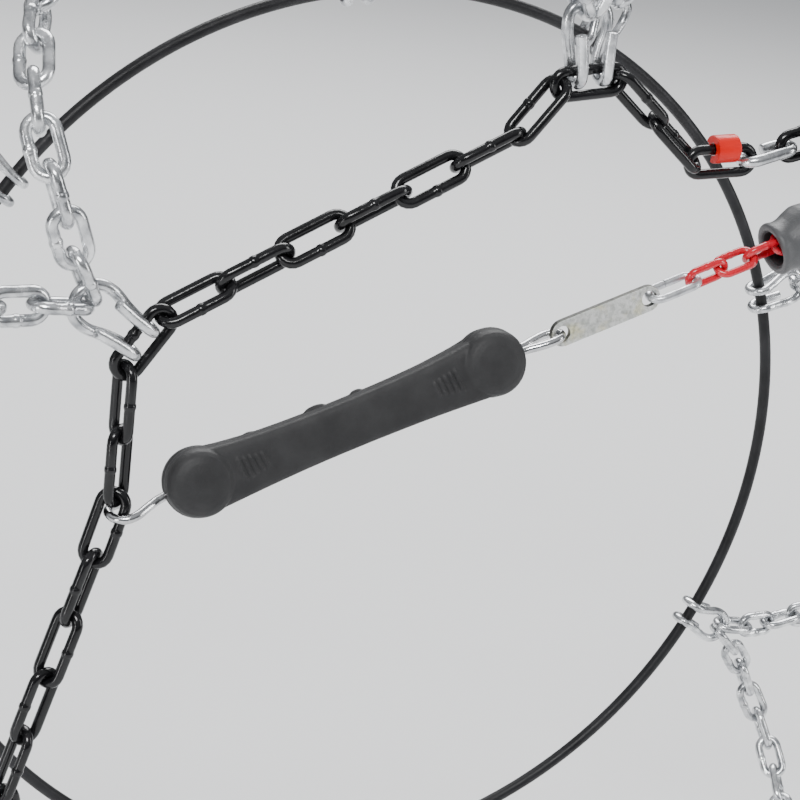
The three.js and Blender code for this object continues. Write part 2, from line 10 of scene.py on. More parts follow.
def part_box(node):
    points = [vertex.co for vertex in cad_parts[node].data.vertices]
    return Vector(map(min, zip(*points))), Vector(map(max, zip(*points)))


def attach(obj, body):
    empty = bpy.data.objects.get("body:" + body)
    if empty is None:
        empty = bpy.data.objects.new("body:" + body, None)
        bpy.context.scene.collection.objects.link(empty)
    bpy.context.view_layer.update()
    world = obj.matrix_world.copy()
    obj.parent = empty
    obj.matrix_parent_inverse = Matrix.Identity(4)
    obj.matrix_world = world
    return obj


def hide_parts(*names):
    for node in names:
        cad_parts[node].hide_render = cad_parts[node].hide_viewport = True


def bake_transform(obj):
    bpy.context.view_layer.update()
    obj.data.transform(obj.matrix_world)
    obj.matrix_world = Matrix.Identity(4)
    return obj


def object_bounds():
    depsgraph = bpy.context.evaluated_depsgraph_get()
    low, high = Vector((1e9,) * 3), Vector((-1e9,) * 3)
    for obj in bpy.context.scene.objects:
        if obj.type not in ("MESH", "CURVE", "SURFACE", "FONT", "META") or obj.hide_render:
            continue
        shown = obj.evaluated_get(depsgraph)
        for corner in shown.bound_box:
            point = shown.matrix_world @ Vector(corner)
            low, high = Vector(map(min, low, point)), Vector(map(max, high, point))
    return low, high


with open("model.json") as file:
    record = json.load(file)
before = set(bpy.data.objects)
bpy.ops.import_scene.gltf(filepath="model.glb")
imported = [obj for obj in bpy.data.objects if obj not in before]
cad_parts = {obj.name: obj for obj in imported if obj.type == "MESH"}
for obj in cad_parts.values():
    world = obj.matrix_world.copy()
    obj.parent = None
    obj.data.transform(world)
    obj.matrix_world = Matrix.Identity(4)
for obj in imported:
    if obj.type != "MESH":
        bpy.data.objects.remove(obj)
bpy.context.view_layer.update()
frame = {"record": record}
joints = {joint["name"]: joint for joint in frame["record"]["behaviour"]["joints"]}
mm = 0.001


# ---- Camera and studio ------------------------------------------------------------------
# A long lens looks at the tensioner from the front left and a little above. A pale floor,
# four soft lamps and a bright room give the wires their long white highlights.

def middle(node):
    """The middle of a node's box at rest."""
    low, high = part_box(node)
    return (Vector(low) + Vector(high)) / 2


aim = middle("rubber_tensioner") + Vector((25, 10, 4)) * mm
camera_distance = 800 * mm
azimuth, elevation, roll = math.radians(-25), math.radians(18.5), math.radians(7)
back = Vector((
    math.sin(azimuth) * math.cos(elevation),
    -math.cos(azimuth) * math.cos(elevation),
    math.sin(elevation),
))
level = Vector((0, 0, 1)).cross(back).normalized()
right = level * math.cos(roll) + back.cross(level) * math.sin(roll)
camera = bpy.data.objects.new("camera", bpy.data.cameras.new("camera"))
camera.data.lens = 95.4
camera.data.clip_start = 0.01
camera.matrix_world = Matrix.Translation(aim + back * camera_distance) @ Matrix((
    right, back.cross(right), back)).transposed().to_4x4()
bpy.context.scene.collection.objects.link(camera)
bpy.context.scene.camera = camera


def soft_lamp(name, place, size, power):
    """A rectangular area lamp that points at the tensioner."""
    lamp = bpy.data.objects.new(name, bpy.data.lights.new(name, "AREA"))
    lamp.data.shape = "RECTANGLE"
    lamp.data.size, lamp.data.size_y = size
    lamp.data.energy = power
    lamp.location = place
    lamp.rotation_euler = (aim - Vector(place)).to_track_quat("-Z", "Y").to_euler()
    bpy.context.scene.collection.objects.link(lamp)


soft_lamp("key_lamp", (-1.0, -1.5, 1.6), (0.9, 0.4), 42)
soft_lamp("side_lamp", (1.5, -1.0, 0.6), (0.25, 1.2), 12)
soft_lamp("low_lamp", (-1.7, -0.8, 0.0), (0.15, 0.9), 8)
soft_lamp("floor_lamp", (1.0, 2.2, 3.0), (3.0, 2.0), 190)

# The room is dark at floor level and bright above, and the camera sees a plain pale wall.
room = bpy.data.worlds.new("room")
bpy.context.scene.world = room
room.use_nodes = True
room_tree = room.node_tree
sky = room_tree.nodes["Background"]
look = room_tree.nodes.new("ShaderNodeTexCoord")
direction = room_tree.nodes.new("ShaderNodeSeparateXYZ")
room_tree.links.new(look.outputs["Generated"], direction.inputs["Vector"])
walls = room_tree.nodes.new("ShaderNodeValToRGB")
walls.color_ramp.elements[0].position, walls.color_ramp.elements[1].position = 0.0, 0.75
walls.color_ramp.elements[0].color = (0.10, 0.105, 0.11, 1)
walls.color_ramp.elements[1].color = (0.95, 0.97, 1, 1)
room_tree.links.new(direction.outputs["Z"], walls.inputs["Fac"])
seen = room_tree.nodes.new("ShaderNodeMix")
seen.data_type = "RGBA"
rays = room_tree.nodes.new("ShaderNodeLightPath")
room_tree.links.new(rays.outputs["Is Camera Ray"], seen.inputs["Factor"])
room_tree.links.new(walls.outputs["Color"], seen.inputs["A"])
seen.inputs["B"].default_value = (1.25, 1.27, 1.3, 1)
room_tree.links.new(seen.outputs["Result"], sky.inputs["Color"])
sky.inputs["Strength"].default_value = 0.6


def new_material(name, slot=None, **sockets):
    """A material with one Principled shader, whose plain values are set on its sockets."""
    material = bpy.data.materials.new(name)
    material.use_nodes = True
    shader = material.node_tree.nodes["Principled BSDF"]
    for socket, value in sockets.items():
        shader.inputs[socket.replace("_", " ")].default_value = value
    material["slot"] = slot or ""
    return material


def add_node(tree, kind, links=(), **values):
    """Adds a node. Values set its properties; links pair an input's name with a socket or value."""
    node = tree.nodes.new(kind)
    for key, value in values.items():
        setattr(node, key, value)
    for socket, source in links:
        if isinstance(source, bpy.types.NodeSocket):
            tree.links.new(source, node.inputs[socket])
        else:
            node.inputs[socket].default_value = source
    return node


def colour_between(tree, mask, low, high, start=0.0, end=1.0):
    """A colour that runs from low to high as the mask goes from start to end."""
    ramp = add_node(tree, "ShaderNodeValToRGB", [("Fac", mask)])
    ramp.color_ramp.elements[0].position, ramp.color_ramp.elements[1].position = start, end
    ramp.color_ramp.elements[0].color = (*low, 1)
    ramp.color_ramp.elements[1].color = (*high, 1)
    return ramp.outputs["Color"]


# ---- Side chain -------------------------------------------------------------------------
# Welded links of 4 mm steel wire in glossy black enamel. Each link is bent to an oval and
# butt-welded in the middle of one bar, which leaves a raised collar there.

side_wire, side_inside, side_pitch = 4 * mm, 5.5 * mm, 24 * mm
random = np.random.default_rng(4)


def unit(vector):
    """The vector's direction, one unit long."""
    return vector / np.linalg.norm(vector)


def flat(*xyz):
    """A point or a direction as an array."""
    return np.array(xyz, float)


def round_section(sides=14):
    """Points on a circle of radius 1."""
    turn = 2 * math.pi * np.arange(sides) / sides
    return np.stack([np.cos(turn), np.sin(turn)], axis=1)


def bend_wire(route, thickness, facing, closed=False, section=None):
    """Vertices and faces of a bar bent along a route. Thickness is its radius at each point, and
    facing a direction that one side of its section keeps to as nearly as the bends allow."""
    route = np.asarray(route, float)
    section = round_section() if section is None else section
    thickness = np.broadcast_to(np.asarray(thickness, float), len(route)).copy()
    if not closed:
        lips = [route[0] - unit(route[1] - route[0]) * thickness[0] * 0.12,
                route[-1] + unit(route[-1] - route[-2]) * thickness[-1] * 0.12]
        route = np.vstack([lips[0], route, lips[1]])
        thickness = np.concatenate([[thickness[0] * 0.86], thickness, [thickness[-1] * 0.86]])
        tangent = np.gradient(route, axis=0)
    else:
        tangent = np.roll(route, -1, axis=0) - np.roll(route, 1, axis=0)
    tangent /= np.linalg.norm(tangent, axis=1)[:, None]
    side = np.empty_like(route)
    carried = np.asarray(facing, float)
    for i, direction in enumerate(tangent):
        carried = unit(carried - direction * carried.dot(direction))
        side[i] = carried
    up = np.cross(tangent, side)
    rings = (route[:, None] + thickness[:, None, None] * (
        section[None, :, :1] * side[:, None] + section[None, :, 1:] * up[:, None]))
    count, sides = len(route), len(section)
    faces = []
    for i in range(count if closed else count - 1):
        a, b = i * sides, (i + 1) % count * sides
        faces += [(a + j, a + (j + 1) % sides, b + (j + 1) % sides, b + j) for j in range(sides)]
    if not closed:
        faces += [tuple(range(sides))[::-1], tuple(range((count - 1) * sides, count * sides))]
    return rings.reshape(-1, 3), faces


def smooth_route(points, step):
    """Points at even steps along a smooth curve through the given points."""
    points = np.asarray(points, float)
    points = np.vstack([2 * points[0] - points[1], points, 2 * points[-1] - points[-2]])
    knots = np.concatenate([[0], np.cumsum(np.linalg.norm(np.diff(points, axis=0), axis=1) ** 0.5)])
    fine = []
    for k in range(1, len(points) - 2):
        t0, t1, t2, t3 = knots[k - 1:k + 3]
        p0, p1, p2, p3 = points[k - 1:k + 3]
        for t in np.linspace(t1, t2, 24, endpoint=False):
            a1 = (p0 * (t1 - t) + p1 * (t - t0)) / (t1 - t0)
            a2 = (p1 * (t2 - t) + p2 * (t - t1)) / (t2 - t1)
            a3 = (p2 * (t3 - t) + p3 * (t - t2)) / (t3 - t2)
            b1 = (a1 * (t2 - t) + a2 * (t - t0)) / (t2 - t0)
            b2 = (a2 * (t3 - t) + a3 * (t - t1)) / (t3 - t1)
            fine.append((b1 * (t2 - t) + b2 * (t - t1)) / (t2 - t1))
    fine = np.array(fine + [points[-2]])
    along = np.concatenate([[0], np.cumsum(np.linalg.norm(np.diff(fine, axis=0), axis=1))])
    even = np.linspace(0, along[-1], max(3, round(along[-1] / step) + 1))
    return np.stack([np.interp(even, along, fine[:, axis]) for axis in range(3)], axis=1)


def forge_link(start, end, facing, wire, inside, weld=0.13):
    """A link whose inner ends lie at start and end, with its face turned towards facing. Weld is
    how far its collar stands out, as a share of the wire's radius."""
    start, end = np.asarray(start, float), np.asarray(end, float)
    x = unit(end - start)
    z = unit(np.asarray(facing, float) - x * x.dot(facing))
    y = np.cross(z, x)
    bend = (inside + wire) / 2
    half = (np.linalg.norm(end - start) - inside) / 2
    sweep = np.linspace(-math.pi / 2, math.pi / 2, 11)
    weld_bar = np.clip(wire * np.array([1.1, 0.5, 0.3, 0.24, 0.15, 0, -0.15, -0.24, -0.3, -0.5, -1.1]),
                       -half * 0.96, half * 0.96)
    plain_bar = half * np.array([-0.5, 0, 0.5])
    shape = np.concatenate([
        np.stack([half + bend * np.cos(sweep), bend * np.sin(sweep)], axis=1),
        np.stack([weld_bar, np.full(len(weld_bar), bend)], axis=1),
        np.stack([-half - bend * np.cos(sweep), -bend * np.sin(sweep)], axis=1),
        np.stack([plain_bar, np.full(3, -bend)], axis=1),
    ])
    swell = np.ones(len(shape))
    weld_half = 0.24 * wire
    swell[len(sweep):len(sweep) + len(weld_bar)] += weld * np.exp(-(weld_bar / weld_half) ** 6)
    route = (start + end) / 2 + shape[:, :1] * x + shape[:, 1:] * y
    return bend_wire(route, wire / 2 * swell, z, closed=True)


def join_shapes(name, shapes):
    """One mesh of several shapes, each a list of places and a list of faces."""
    places, faces = [], []
    for shape_places, shape_faces in shapes:
        base = sum(len(part) for part in places)
        faces += [tuple(base + corner for corner in face) for face in shape_faces]
        places.append(shape_places)
    mesh = bpy.data.meshes.new(name)
    mesh.from_pydata(np.vstack(places).tolist(), [], faces)
    work = bmesh.new()
    work.from_mesh(mesh)
    bmesh.ops.recalc_face_normals(work, faces=work.faces)
    work.to_mesh(mesh)
    work.free()
    return mesh


def forge_piece(name, shapes, material, body, *nodes):
    """Joins shapes into one smooth-shaded piece, which rides on a body and replaces CAD nodes."""
    return hand_over(name, join_shapes(name, shapes), material, body, *nodes)


def hand_over(name, mesh, material, body, *nodes, sharp=42):
    """Names a mesh's piece, finishes it and joins it to its body."""
    piece = bpy.data.objects.new(name, mesh)
    bpy.context.scene.collection.objects.link(piece)
    mesh.materials.clear()
    mesh.materials.append(material)
    mesh.shade_smooth()
    mesh.set_sharp_from_angle(angle=math.radians(sharp))
    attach(piece, body)
    if nodes:
        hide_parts(*nodes)
    return piece


def new_group(name, inputs, outputs):
    """An empty node group with named inputs and outputs, and its two end nodes."""
    group = bpy.data.node_groups.new(name, "ShaderNodeTree")
    for label, value in inputs.items():
        socket = group.interface.new_socket(label, in_out="INPUT", socket_type="NodeSocketFloat")
        socket.default_value = value
    for label, kind in outputs.items():
        group.interface.new_socket(label, in_out="OUTPUT", socket_type=kind)
    return group, group.nodes.new("NodeGroupInput"), group.nodes.new("NodeGroupOutput")


def place_group(material, group, values):
    """Places a node group in a material, with the material's own values."""
    node = material.node_tree.nodes.new("ShaderNodeGroup")
    node.node_tree = group
    for label, value in values.items():
        node.inputs[label].default_value = value
    return node


# Handling marks: cloudy patches, fine specks and long scratches, with a matching relief. On the bright
# zinc the cloudy patches also carry painted shade.
marks, marks_in, marks_out = new_group(
    "marks_and_painted_shade",
    {"Patch Size": 60.0, "Speck Size": 900.0, "Scratch Size": 300.0, "Relief": 0.05},
    {"Patches": "NodeSocketFloat", "Scratches": "NodeSocketFloat", "Normal": "NodeSocketVector"})
where = add_node(marks, "ShaderNodeTexCoord")
patches = add_node(marks, "ShaderNodeTexNoise", [
    ("Vector", where.outputs["Object"]), ("Scale", marks_in.outputs["Patch Size"]), ("Detail", 5.0)])
specks = add_node(marks, "ShaderNodeTexNoise", [
    ("Vector", where.outputs["Object"]), ("Scale", marks_in.outputs["Speck Size"]), ("Detail", 3.0)])
stretched = add_node(marks, "ShaderNodeMapping", [("Vector", where.outputs["Object"])])
stretched.inputs["Scale"].default_value = (1, 0.12, 0.3)
stretched.inputs["Rotation"].default_value = (0.4, 0.7, 0.3)
scratches = add_node(marks, "ShaderNodeTexNoise", [
    ("Vector", stretched.outputs["Vector"]), ("Scale", marks_in.outputs["Scratch Size"]),
    ("Detail", 8.0), ("Roughness", 0.75)])
heights = add_node(marks, "ShaderNodeMath", [
    (0, specks.outputs["Fac"]), (1, scratches.outputs["Fac"])], operation="ADD")
relief = add_node(marks, "ShaderNodeBump", [
    ("Strength", marks_in.outputs["Relief"]), ("Distance", 0.001), ("Height", heights.outputs["Value"])])
for label, source in (("Patches", patches.outputs["Fac"]), ("Scratches", scratches.outputs["Fac"]),
                      ("Normal", relief.outputs["Normal"])):
    marks.links.new(source, marks_out.inputs[label])


def dress(material, dark, light, rough, marks_values, spread=(0.35, 0.65)):
    """Gives a material its colour range, its roughness range and its relief from the marks. Spread
    is the part of the patches' range over which the colour changes."""
    tree = material.node_tree
    shader = tree.nodes["Principled BSDF"]
    effect = place_group(material, marks, marks_values)
    tree.links.new(colour_between(tree, effect.outputs["Patches"], dark, light, *spread),
                   shader.inputs["Base Color"])
    ranged = add_node(tree, "ShaderNodeMapRange", [
        ("Value", effect.outputs["Scratches"]), ("From Min", 0.3), ("From Max", 0.7),
        ("To Min", rough[0]), ("To Max", rough[1])])
    tree.links.new(ranged.outputs["Result"], shader.inputs["Roughness"])
    tree.links.new(effect.outputs["Normal"], shader.inputs["Normal"])


black_enamel = new_material("black_enamel", "black_enamel", Specular_IOR_Level=0.38)
dress(black_enamel, (0.003, 0.003, 0.0035), (0.009, 0.009, 0.010), (0.10, 0.22),
      {"Patch Size": 90.0, "Speck Size": 500.0, "Scratch Size": 160.0, "Relief": 0.06})

# Every tread hook curls round the outer bar of one side link. Its tilt axis is that bar.
hook_count = len([name for name in joints if name.startswith("hook_")])
bars = [flat(*joints[f"hook_{i + 1}_tilt"]["pos_m"]) for i in range(hook_count)]
side_y = bars[0][1]
outward = [unit(bar * flat(1, 0, 1)) for bar in bars]
clockwise = [flat(out[2], 0, -out[0]) for out in outward]
held_middle = [bar - out * (side_inside + side_wire) / 2 for bar, out in zip(bars, outward)]
held_left = [centre - way * side_pitch / 2 for centre, way in zip(held_middle, clockwise)]
held_right = [centre + way * side_pitch / 2 for centre, way in zip(held_middle, clockwise)]
front = flat(0, -1, 0)
down = flat(0, 0, -1)


def turned(along, degrees):
    """The direction that a link faces: straight to the front, turned about its own length."""
    along = unit(along)
    flat_front = unit(front - along * along.dot(front))
    return (flat_front * math.cos(math.radians(degrees))
            + np.cross(along, flat_front) * math.sin(math.radians(degrees)))


def side_links(start, end, turns):
    """Side links from start to end, one for each turn in degrees."""
    stops = np.linspace(start, end, len(turns) + 1)
    return [forge_link(a, b, turned(b - a, turn), side_wire, side_inside)
            for a, b, turn in zip(stops[:-1], stops[1:], turns)]


def loose(turns):
    """The same turns in degrees, each a little off, as links hang in a loose chain."""
    return [turn + random.uniform(-9, 9) for turn in turns]


# The links near the first hook, where the tensioner pulls the chain inward and twists it.
first_down = unit(held_left[0] - held_right[0])
lean = unit(flat(-0.27, 0, -0.963))
joint_1 = held_left[0] + (down - first_down) * side_wire / 2
joint_2 = joint_1 + down * side_pitch
joint_3 = joint_2 + down * side_pitch
joint_4 = joint_3 + lean * side_pitch
for number, (start, end, turn) in enumerate([
        (held_left[0], held_right[0], 0), (joint_1, joint_2, 75),
        (joint_2, joint_3, 140), (joint_3, joint_4, 31)]):
    forge_piece(f"side_link_{number + 1}_steel", side_links(start, end, [turn]), black_enamel,
                "root", f"side_link_{number + 1}")

# From the first hook the chain runs straight for six links, and then steps up to the second.
straight_links = 6
close_middle = np.array(middle("closing_link"))
close_way = unit(flat(24, 0, 2))
close_left = close_middle - close_way * side_pitch / 2
close_right = close_middle + close_way * side_pitch / 2
straight_end = held_right[0] + unit(flat(0.883, 0, 0.469)) * straight_links * side_pitch
forge_piece("side_chain_1", [
    *side_links(held_right[0], straight_end, [122, 34, 145, 52, 152, 56]),
    *side_links(straight_end, held_left[1], [-60]),
    *side_links(held_left[1], held_right[1], [0])], black_enamel, "root", "side_run_1")
forge_piece("side_chain_2", side_links(held_right[1], close_left, [60, -60]), black_enamel,
            "root", "side_run_2")
for i in range(2, hook_count - 1):
    forge_piece(f"side_chain_{i + 2}", [
        *side_links(held_right[i], held_left[i + 1], loose([90, 0, 90, 0, 90, 0, 90])),
        *side_links(held_left[i + 1], held_right[i + 1], [0])], black_enamel, "root",
        f"side_run_{i + 2}")
forge_piece("side_chain_9", side_links(joint_4, held_right[7], [133, 55, 157, 78]), black_enamel,
            "root", "side_run_9")


# ---- Tread hooks ------------------------------------------------------------------------
# One hairpin of hard bright wire each. The round end is the arch that the strands hang in;
# both legs pass behind the side link, curl round its bar and end in flat-cut prongs in front.

tread_wire = 4.4 * mm
arch_radius = 8.2 * mm
arch_reach = 16.8 * mm  # from the bar to the arch's centre
arch_back = 2  # how far the arch lies behind the bar, in mm
outer_curl, inner_curl = 4.8 * mm, 5.6 * mm

zinc = new_material("bright_zinc", "galvanised", Metallic=0.92)
# The zinc's colour runs from dark grey to near white over cloudy patches. The patches are partly the
# mottle of galvanised zinc and partly painted shade: their dark grey stands in for the dark surroundings
# that the bright metal would mirror.
dress(zinc, (0.36, 0.37, 0.385), (0.88, 0.89, 0.90), (0.16, 0.30),
      {"Patch Size": 170.0, "Speck Size": 800.0, "Scratch Size": 300.0, "Relief": 0.09})


def hook_route(bar, out, way, curl, inner):
    """The wire's route: prong, curl, leg, arch, leg, curl, prong. Inner is 1, or -1 mirrored."""
    deep = flat(0, inner, 0)
    # Each point in mm: across, away from the axle, and behind the bar.
    half = [(6.2, 13.8, -5.8), (5.4, 5.8, -5.2)]
    half += [(5.2, -curl / mm * math.cos(a), -curl / mm * math.sin(a))
             for a in np.radians([90, 60, 30, 0, -30, -60, -90])]
    half += [(6.2, 6.3, 4.2)]
    half += [(arch_radius / mm * math.cos(a), (arch_reach + arch_radius * math.sin(a)) / mm, arch_back)
             for a in np.radians([-10, 35])]
    left = [bar + (-way * across + out * high + deep * back_by) * mm for across, high, back_by in half]
    right_half = [bar + (way * across + out * high + deep * back_by) * mm
                  for across, high, back_by in half]
    top = bar + out * (arch_reach + arch_radius) + deep * arch_back * mm
    return smooth_route([*left, top, *right_half[::-1]], 1.1 * mm)


for i in range(hook_count):
    route = hook_route(bars[i], outward[i], clockwise[i], outer_curl, 1)
    forge_piece(f"tread_hook_{i + 1}", [bend_wire(route, tread_wire / 2, clockwise[i])], zinc,
                f"outer_hook_{i + 1}", f"outer_hook_{i + 1}")


# ---- Tread strands ----------------------------------------------------------------------
# Welded chain of the same bright wire. Two strands leave each hook, cross the sidewall at a
# slant and the shoulder, and meet their neighbours in a ring in the middle of the tread.

tread_inside, tread_pitch = 6 * mm, 16.6 * mm
tread_radius = 337 * mm
strand_route = [  # share of the way to the next hook, radius, distance beyond the side chain
    (0.1, 280, 5), (0.19, 297, 7), (0.3, 318, -1), (0.48, 335, -30), (0.72, 337, -72)]
ring_radius, ring_wire = 8.5 * mm, 5 * mm


def on_tyre(angle, radius, y):
    """A point at an angle about the axle, at a radius from it, and y along it."""
    return flat(radius * math.cos(angle), y, radius * math.sin(angle))


def out_of_tyre(point):
    """The way out of the tyre at a point on its surface: along the axle on its sides, and away
    from the axle on its tread."""
    across = (np.hypot(point[0], point[2]) - 275 * mm) / (62 * mm)
    axial = point[1] / (120 * mm)
    radial = unit(point * flat(1, 0, 1))
    return unit(radial * max(across, 0) ** 3 + flat(0, 1, 0) * axial ** 3)


def strand_links(angle, arch, spread, side):
    """The links of one strand, from its arch to its ring. Side is -1 outside and 1 inside."""
    route = [on_tyre(angle + spread * share, radius * mm, side * (abs(side_y) + beyond * mm))
             for share, radius, beyond in strand_route]
    ring = on_tyre(angle + spread, tread_radius, 0)
    last = route[-1] - ring
    ring_edge = ring + unit(last) * (ring_radius - ring_wire / 2)
    pull = unit(route[0] - arch)
    start = arch + pull * (arch_radius - tread_wire / 2)
    line = smooth_route([start, *route, ring_edge], 0.4 * mm)
    length = np.linalg.norm(np.diff(line, axis=0), axis=1).sum()
    count = 2 * round((length / tread_pitch - 1) / 2) + 1
    stops = line[np.linspace(0, len(line) - 1, count + 1).round().astype(int)]
    links = []
    for k in range(count):
        out = out_of_tyre((stops[k] + stops[k + 1]) / 2)
        along = unit(stops[k + 1] - stops[k])
        face = out if k % 2 else np.cross(along, out)
        tilt = math.radians(random.uniform(-7, 7))
        face = unit(face * math.cos(tilt) + np.cross(along, face) * math.sin(tilt))
        links.append(forge_link(stops[k], stops[k + 1], face, tread_wire, tread_inside))
    return links


angles = [math.atan2(bar[2], bar[0]) for bar in bars]
cable_low, cable_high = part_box("inner_cable")
cable_thickness = 6 * mm
cable_radius = (cable_high[0] - cable_low[0] - cable_thickness) / 2
cable_y = (cable_low[1] + cable_high[1]) / 2
gaps = [(angles[i - 1] - angles[i]) % (2 * math.pi) for i in range(hook_count)]
for i, angle in enumerate(angles):
    before, after = gaps[i] / 2, gaps[(i + 1) % hook_count] / 2
    arch = bars[i] + outward[i] * arch_reach + flat(0, arch_back, 0) * mm
    inner_arch = on_tyre(angle, cable_radius + arch_reach, cable_y - arch_back * mm)
    forge_piece(f"outer_strand_pair_{i + 1}", [
        *strand_links(angle, arch, before, -1), *strand_links(angle, arch, -after, -1)],
        zinc, "root", f"outer_strands_{i + 1}")
    forge_piece(f"inner_strand_pair_{i + 1}", [
        *strand_links(angle, inner_arch, before, 1),
        *strand_links(angle, inner_arch, -after, 1)], zinc, "root", f"inner_strands_{i + 1}")
    ring_turns = np.linspace(0, 2 * math.pi, 40, endpoint=False)
    centre = on_tyre(angle - after, tread_radius, 0)
    around = unit(np.cross(flat(0, 1, 0), centre))
    ring = [centre + (around * math.cos(a) + flat(0, 1, 0) * math.sin(a)) * ring_radius
            for a in ring_turns]
    forge_piece(f"tread_ring_{i + 1}", [bend_wire(ring, ring_wire / 2, unit(centre), closed=True)],
                zinc, "root")


# ---- Inner cable ------------------------------------------------------------------------
# A steel cable in a dark coating, with a ball on one end and a socket on the other.
# Eight hooks like the outer ones curl round it and hold the inner strands.

cable_coat = new_material("cable_coat", "cable_coat", Specular_IOR_Level=0.3)
dress(cable_coat, (0.007, 0.007, 0.008), (0.018, 0.018, 0.020), (0.32, 0.5),
      {"Patch Size": 60.0, "Speck Size": 900.0, "Scratch Size": 200.0, "Relief": 0.15})
bright_wire = new_material("bright_wire", "bright_wire", Metallic=1.0)
dress(bright_wire, (0.46, 0.465, 0.47), (0.66, 0.66, 0.67), (0.08, 0.22),
      {"Patch Size": 140.0, "Speck Size": 1500.0, "Scratch Size": 500.0, "Relief": 0.08})

opening = math.radians(4.6)
cable_turns = np.linspace(-math.pi / 2 + opening, 3 * math.pi / 2 - opening, 260)
forge_piece("cable", [bend_wire([on_tyre(a, cable_radius, cable_y) for a in cable_turns],
                                cable_thickness / 2, flat(0, 1, 0))], cable_coat, "root", "inner_cable")
for i, angle in enumerate(angles):
    bar = on_tyre(angle, cable_radius, cable_y)
    route = hook_route(bar, outward[i], clockwise[i], inner_curl, -1)
    forge_piece(f"inner_hook_{i + 1}", [bend_wire(route, tread_wire / 2, clockwise[i])], zinc, "root")


def turned_shape(profile, centre, axle, segments=40):
    """A shape turned on a lathe: a closed profile of (radius, distance along the axle) in mm. A
    profile that starts and ends near the axle is a solid piece, and any other is a ring."""
    axle = unit(np.asarray(axle, float))
    side = unit(np.cross(axle, flat(0.3, 0.5, 0.8)))
    up = np.cross(axle, side)
    ring = round_section(segments)
    places, faces = [], []
    for radius, along in profile:
        spoke = (ring[:, :1] * side + ring[:, 1:] * up) * max(radius, 0.02) * mm
        places.append(np.asarray(centre) + axle * along * mm + spoke)
    count = len(profile)
    solid = profile[0][0] < 0.1
    for i in range(count - solid):
        a, b = i * segments, (i + 1) % count * segments
        faces += [(a + j, a + (j + 1) % segments, b + (j + 1) % segments, b + j)
                  for j in range(segments)]
    if solid:
        faces += [tuple(range(segments))[::-1], tuple(range((count - 1) * segments, count * segments))]
    return np.vstack(places), faces


def chamfered(profile, size=0.35):
    """The same profile with each corner cut back to two points, so that its edges catch light."""
    points = [flat(*point) for point in profile]
    result = []
    for before, corner, after in zip(points[-1:] + points[:-1], points, points[1:] + points[:1]):
        for neighbour in (before, after):
            reach = np.linalg.norm(neighbour - corner)
            result.append(corner + (neighbour - corner) * min(size / reach, 0.3))
    return result


cable_end = flat(0, cable_y, -cable_radius)
ball = [(3.4 * math.sin(a), 7 - 3.4 * math.cos(a)) for a in np.linspace(0.55, math.pi, 12)]
plug = [(0.02, -18), (4.1, -18), (4.6, -17.4), (4.6, -12), (4.2, -11.6), (4.6, -11.2), (4.6, -6.4),
        (3.6, -5.8), (1.7, -5), (1.7, 4), *ball]
forge_piece("cable_ball_end", [turned_shape(plug, cable_end, flat(1, 0, 0))], bright_wire, "root",
            "cable_plug")
socket = chamfered([(2.1, -18), (5.6, -18), (5.6, 2), (2.1, 2), (2.1, -1.5), (4, -1.5), (4, -13),
                    (2.1, -13)])
forge_piece("cable_socket_end", [turned_shape(socket, cable_end, flat(-1, 0, 0))], bright_wire,
            "root", "cable_socket")

# ---- Rubber tensioner -------------------------------------------------------------------
# One charcoal rubber moulding: a round bulb at each end, a strap that narrows between them,
# a flange with small nubs along the back, and five grip ribs beside each bulb.

line_way = flat(*joints["tighten_travel"]["axis"])
line_up = np.cross(line_way, flat(0, 1, 0))
line_up *= np.sign(line_up[2])
twist_along = 182  # the plate's twist is placed this far along the line, in mm
line_start = flat(*joints["plate_twist"]["pos_m"]) - line_way * twist_along * mm
bulb_inset, tensioner_length = 13, 145.5
strap_depth, strap_half, strap_drop, rubber_twist = 5.6, 9.2, -1.0, math.radians(17)
voxel = 0.42 * mm


def on_line(along, deep=0.0, high=0.0):
    """A point beside the tensioner's line in mm: along it, deep behind it and high above it."""
    return line_start + (line_way * along + flat(0, deep, 0) + line_up * high) * mm


def in_rubber(along, deep, high):
    """The same, in the tensioner's own frame: it is twisted so that its face looks slightly up."""
    cosine, sine = math.cos(rubber_twist), math.sin(rubber_twist)
    return on_line(along, deep * cosine + high * sine, high * cosine - deep * sine)


def loft(sections):
    """A closed shape through equal rings of points."""
    rings = [np.asarray(ring, float) for ring in sections]
    sides = len(rings[0])
    faces = [tuple(range(sides))[::-1],
             tuple(range((len(rings) - 1) * sides, len(rings) * sides))]
    for i in range(len(rings) - 1):
        a, b = i * sides, (i + 1) * sides
        faces += [(a + j, a + (j + 1) % sides, b + (j + 1) % sides, b + j) for j in range(sides)]
    return np.vstack(rings), faces


def oval(along, half_high, half_deep, deep=0.0, high=0.0, power=3.0, sides=48):
    """A rounded section across the line."""
    ring = round_section(sides)
    rounded = np.sign(ring) * np.abs(ring) ** (2 / power)
    return [in_rubber(along, deep + y * half_deep, high + z * half_high) for z, y in rounded]


def fuse(name, shapes, size, rounds, hollows=()):
    """One skin round several overlapping shapes, with soft corners where they meet. Hollows are
    shapes that are cut out of it afterwards."""
    core = bpy.data.objects.new(name + "_core", join_shapes(name + "_core", shapes))
    bpy.context.scene.collection.objects.link(core)
    skin = core.modifiers.new("skin", "REMESH")
    skin.mode, skin.voxel_size = "VOXEL", size
    soften = core.modifiers.new("soften", "SMOOTH")
    soften.factor, soften.iterations = 0.5, rounds
    cutters = []
    for hollow in hollows:
        cutter = bpy.data.objects.new(name + "_cutter", join_shapes(name + "_cutter", [hollow]))
        bpy.context.scene.collection.objects.link(cutter)
        cut_out = core.modifiers.new("cut_out", "BOOLEAN")
        cut_out.operation, cut_out.object = "DIFFERENCE", cutter
        cutters.append(cutter)
    graph = bpy.context.evaluated_depsgraph_get()
    fused = bpy.data.meshes.new_from_object(core.evaluated_get(graph))
    for helper in (core, *cutters):
        bpy.data.objects.remove(helper)
    return fused


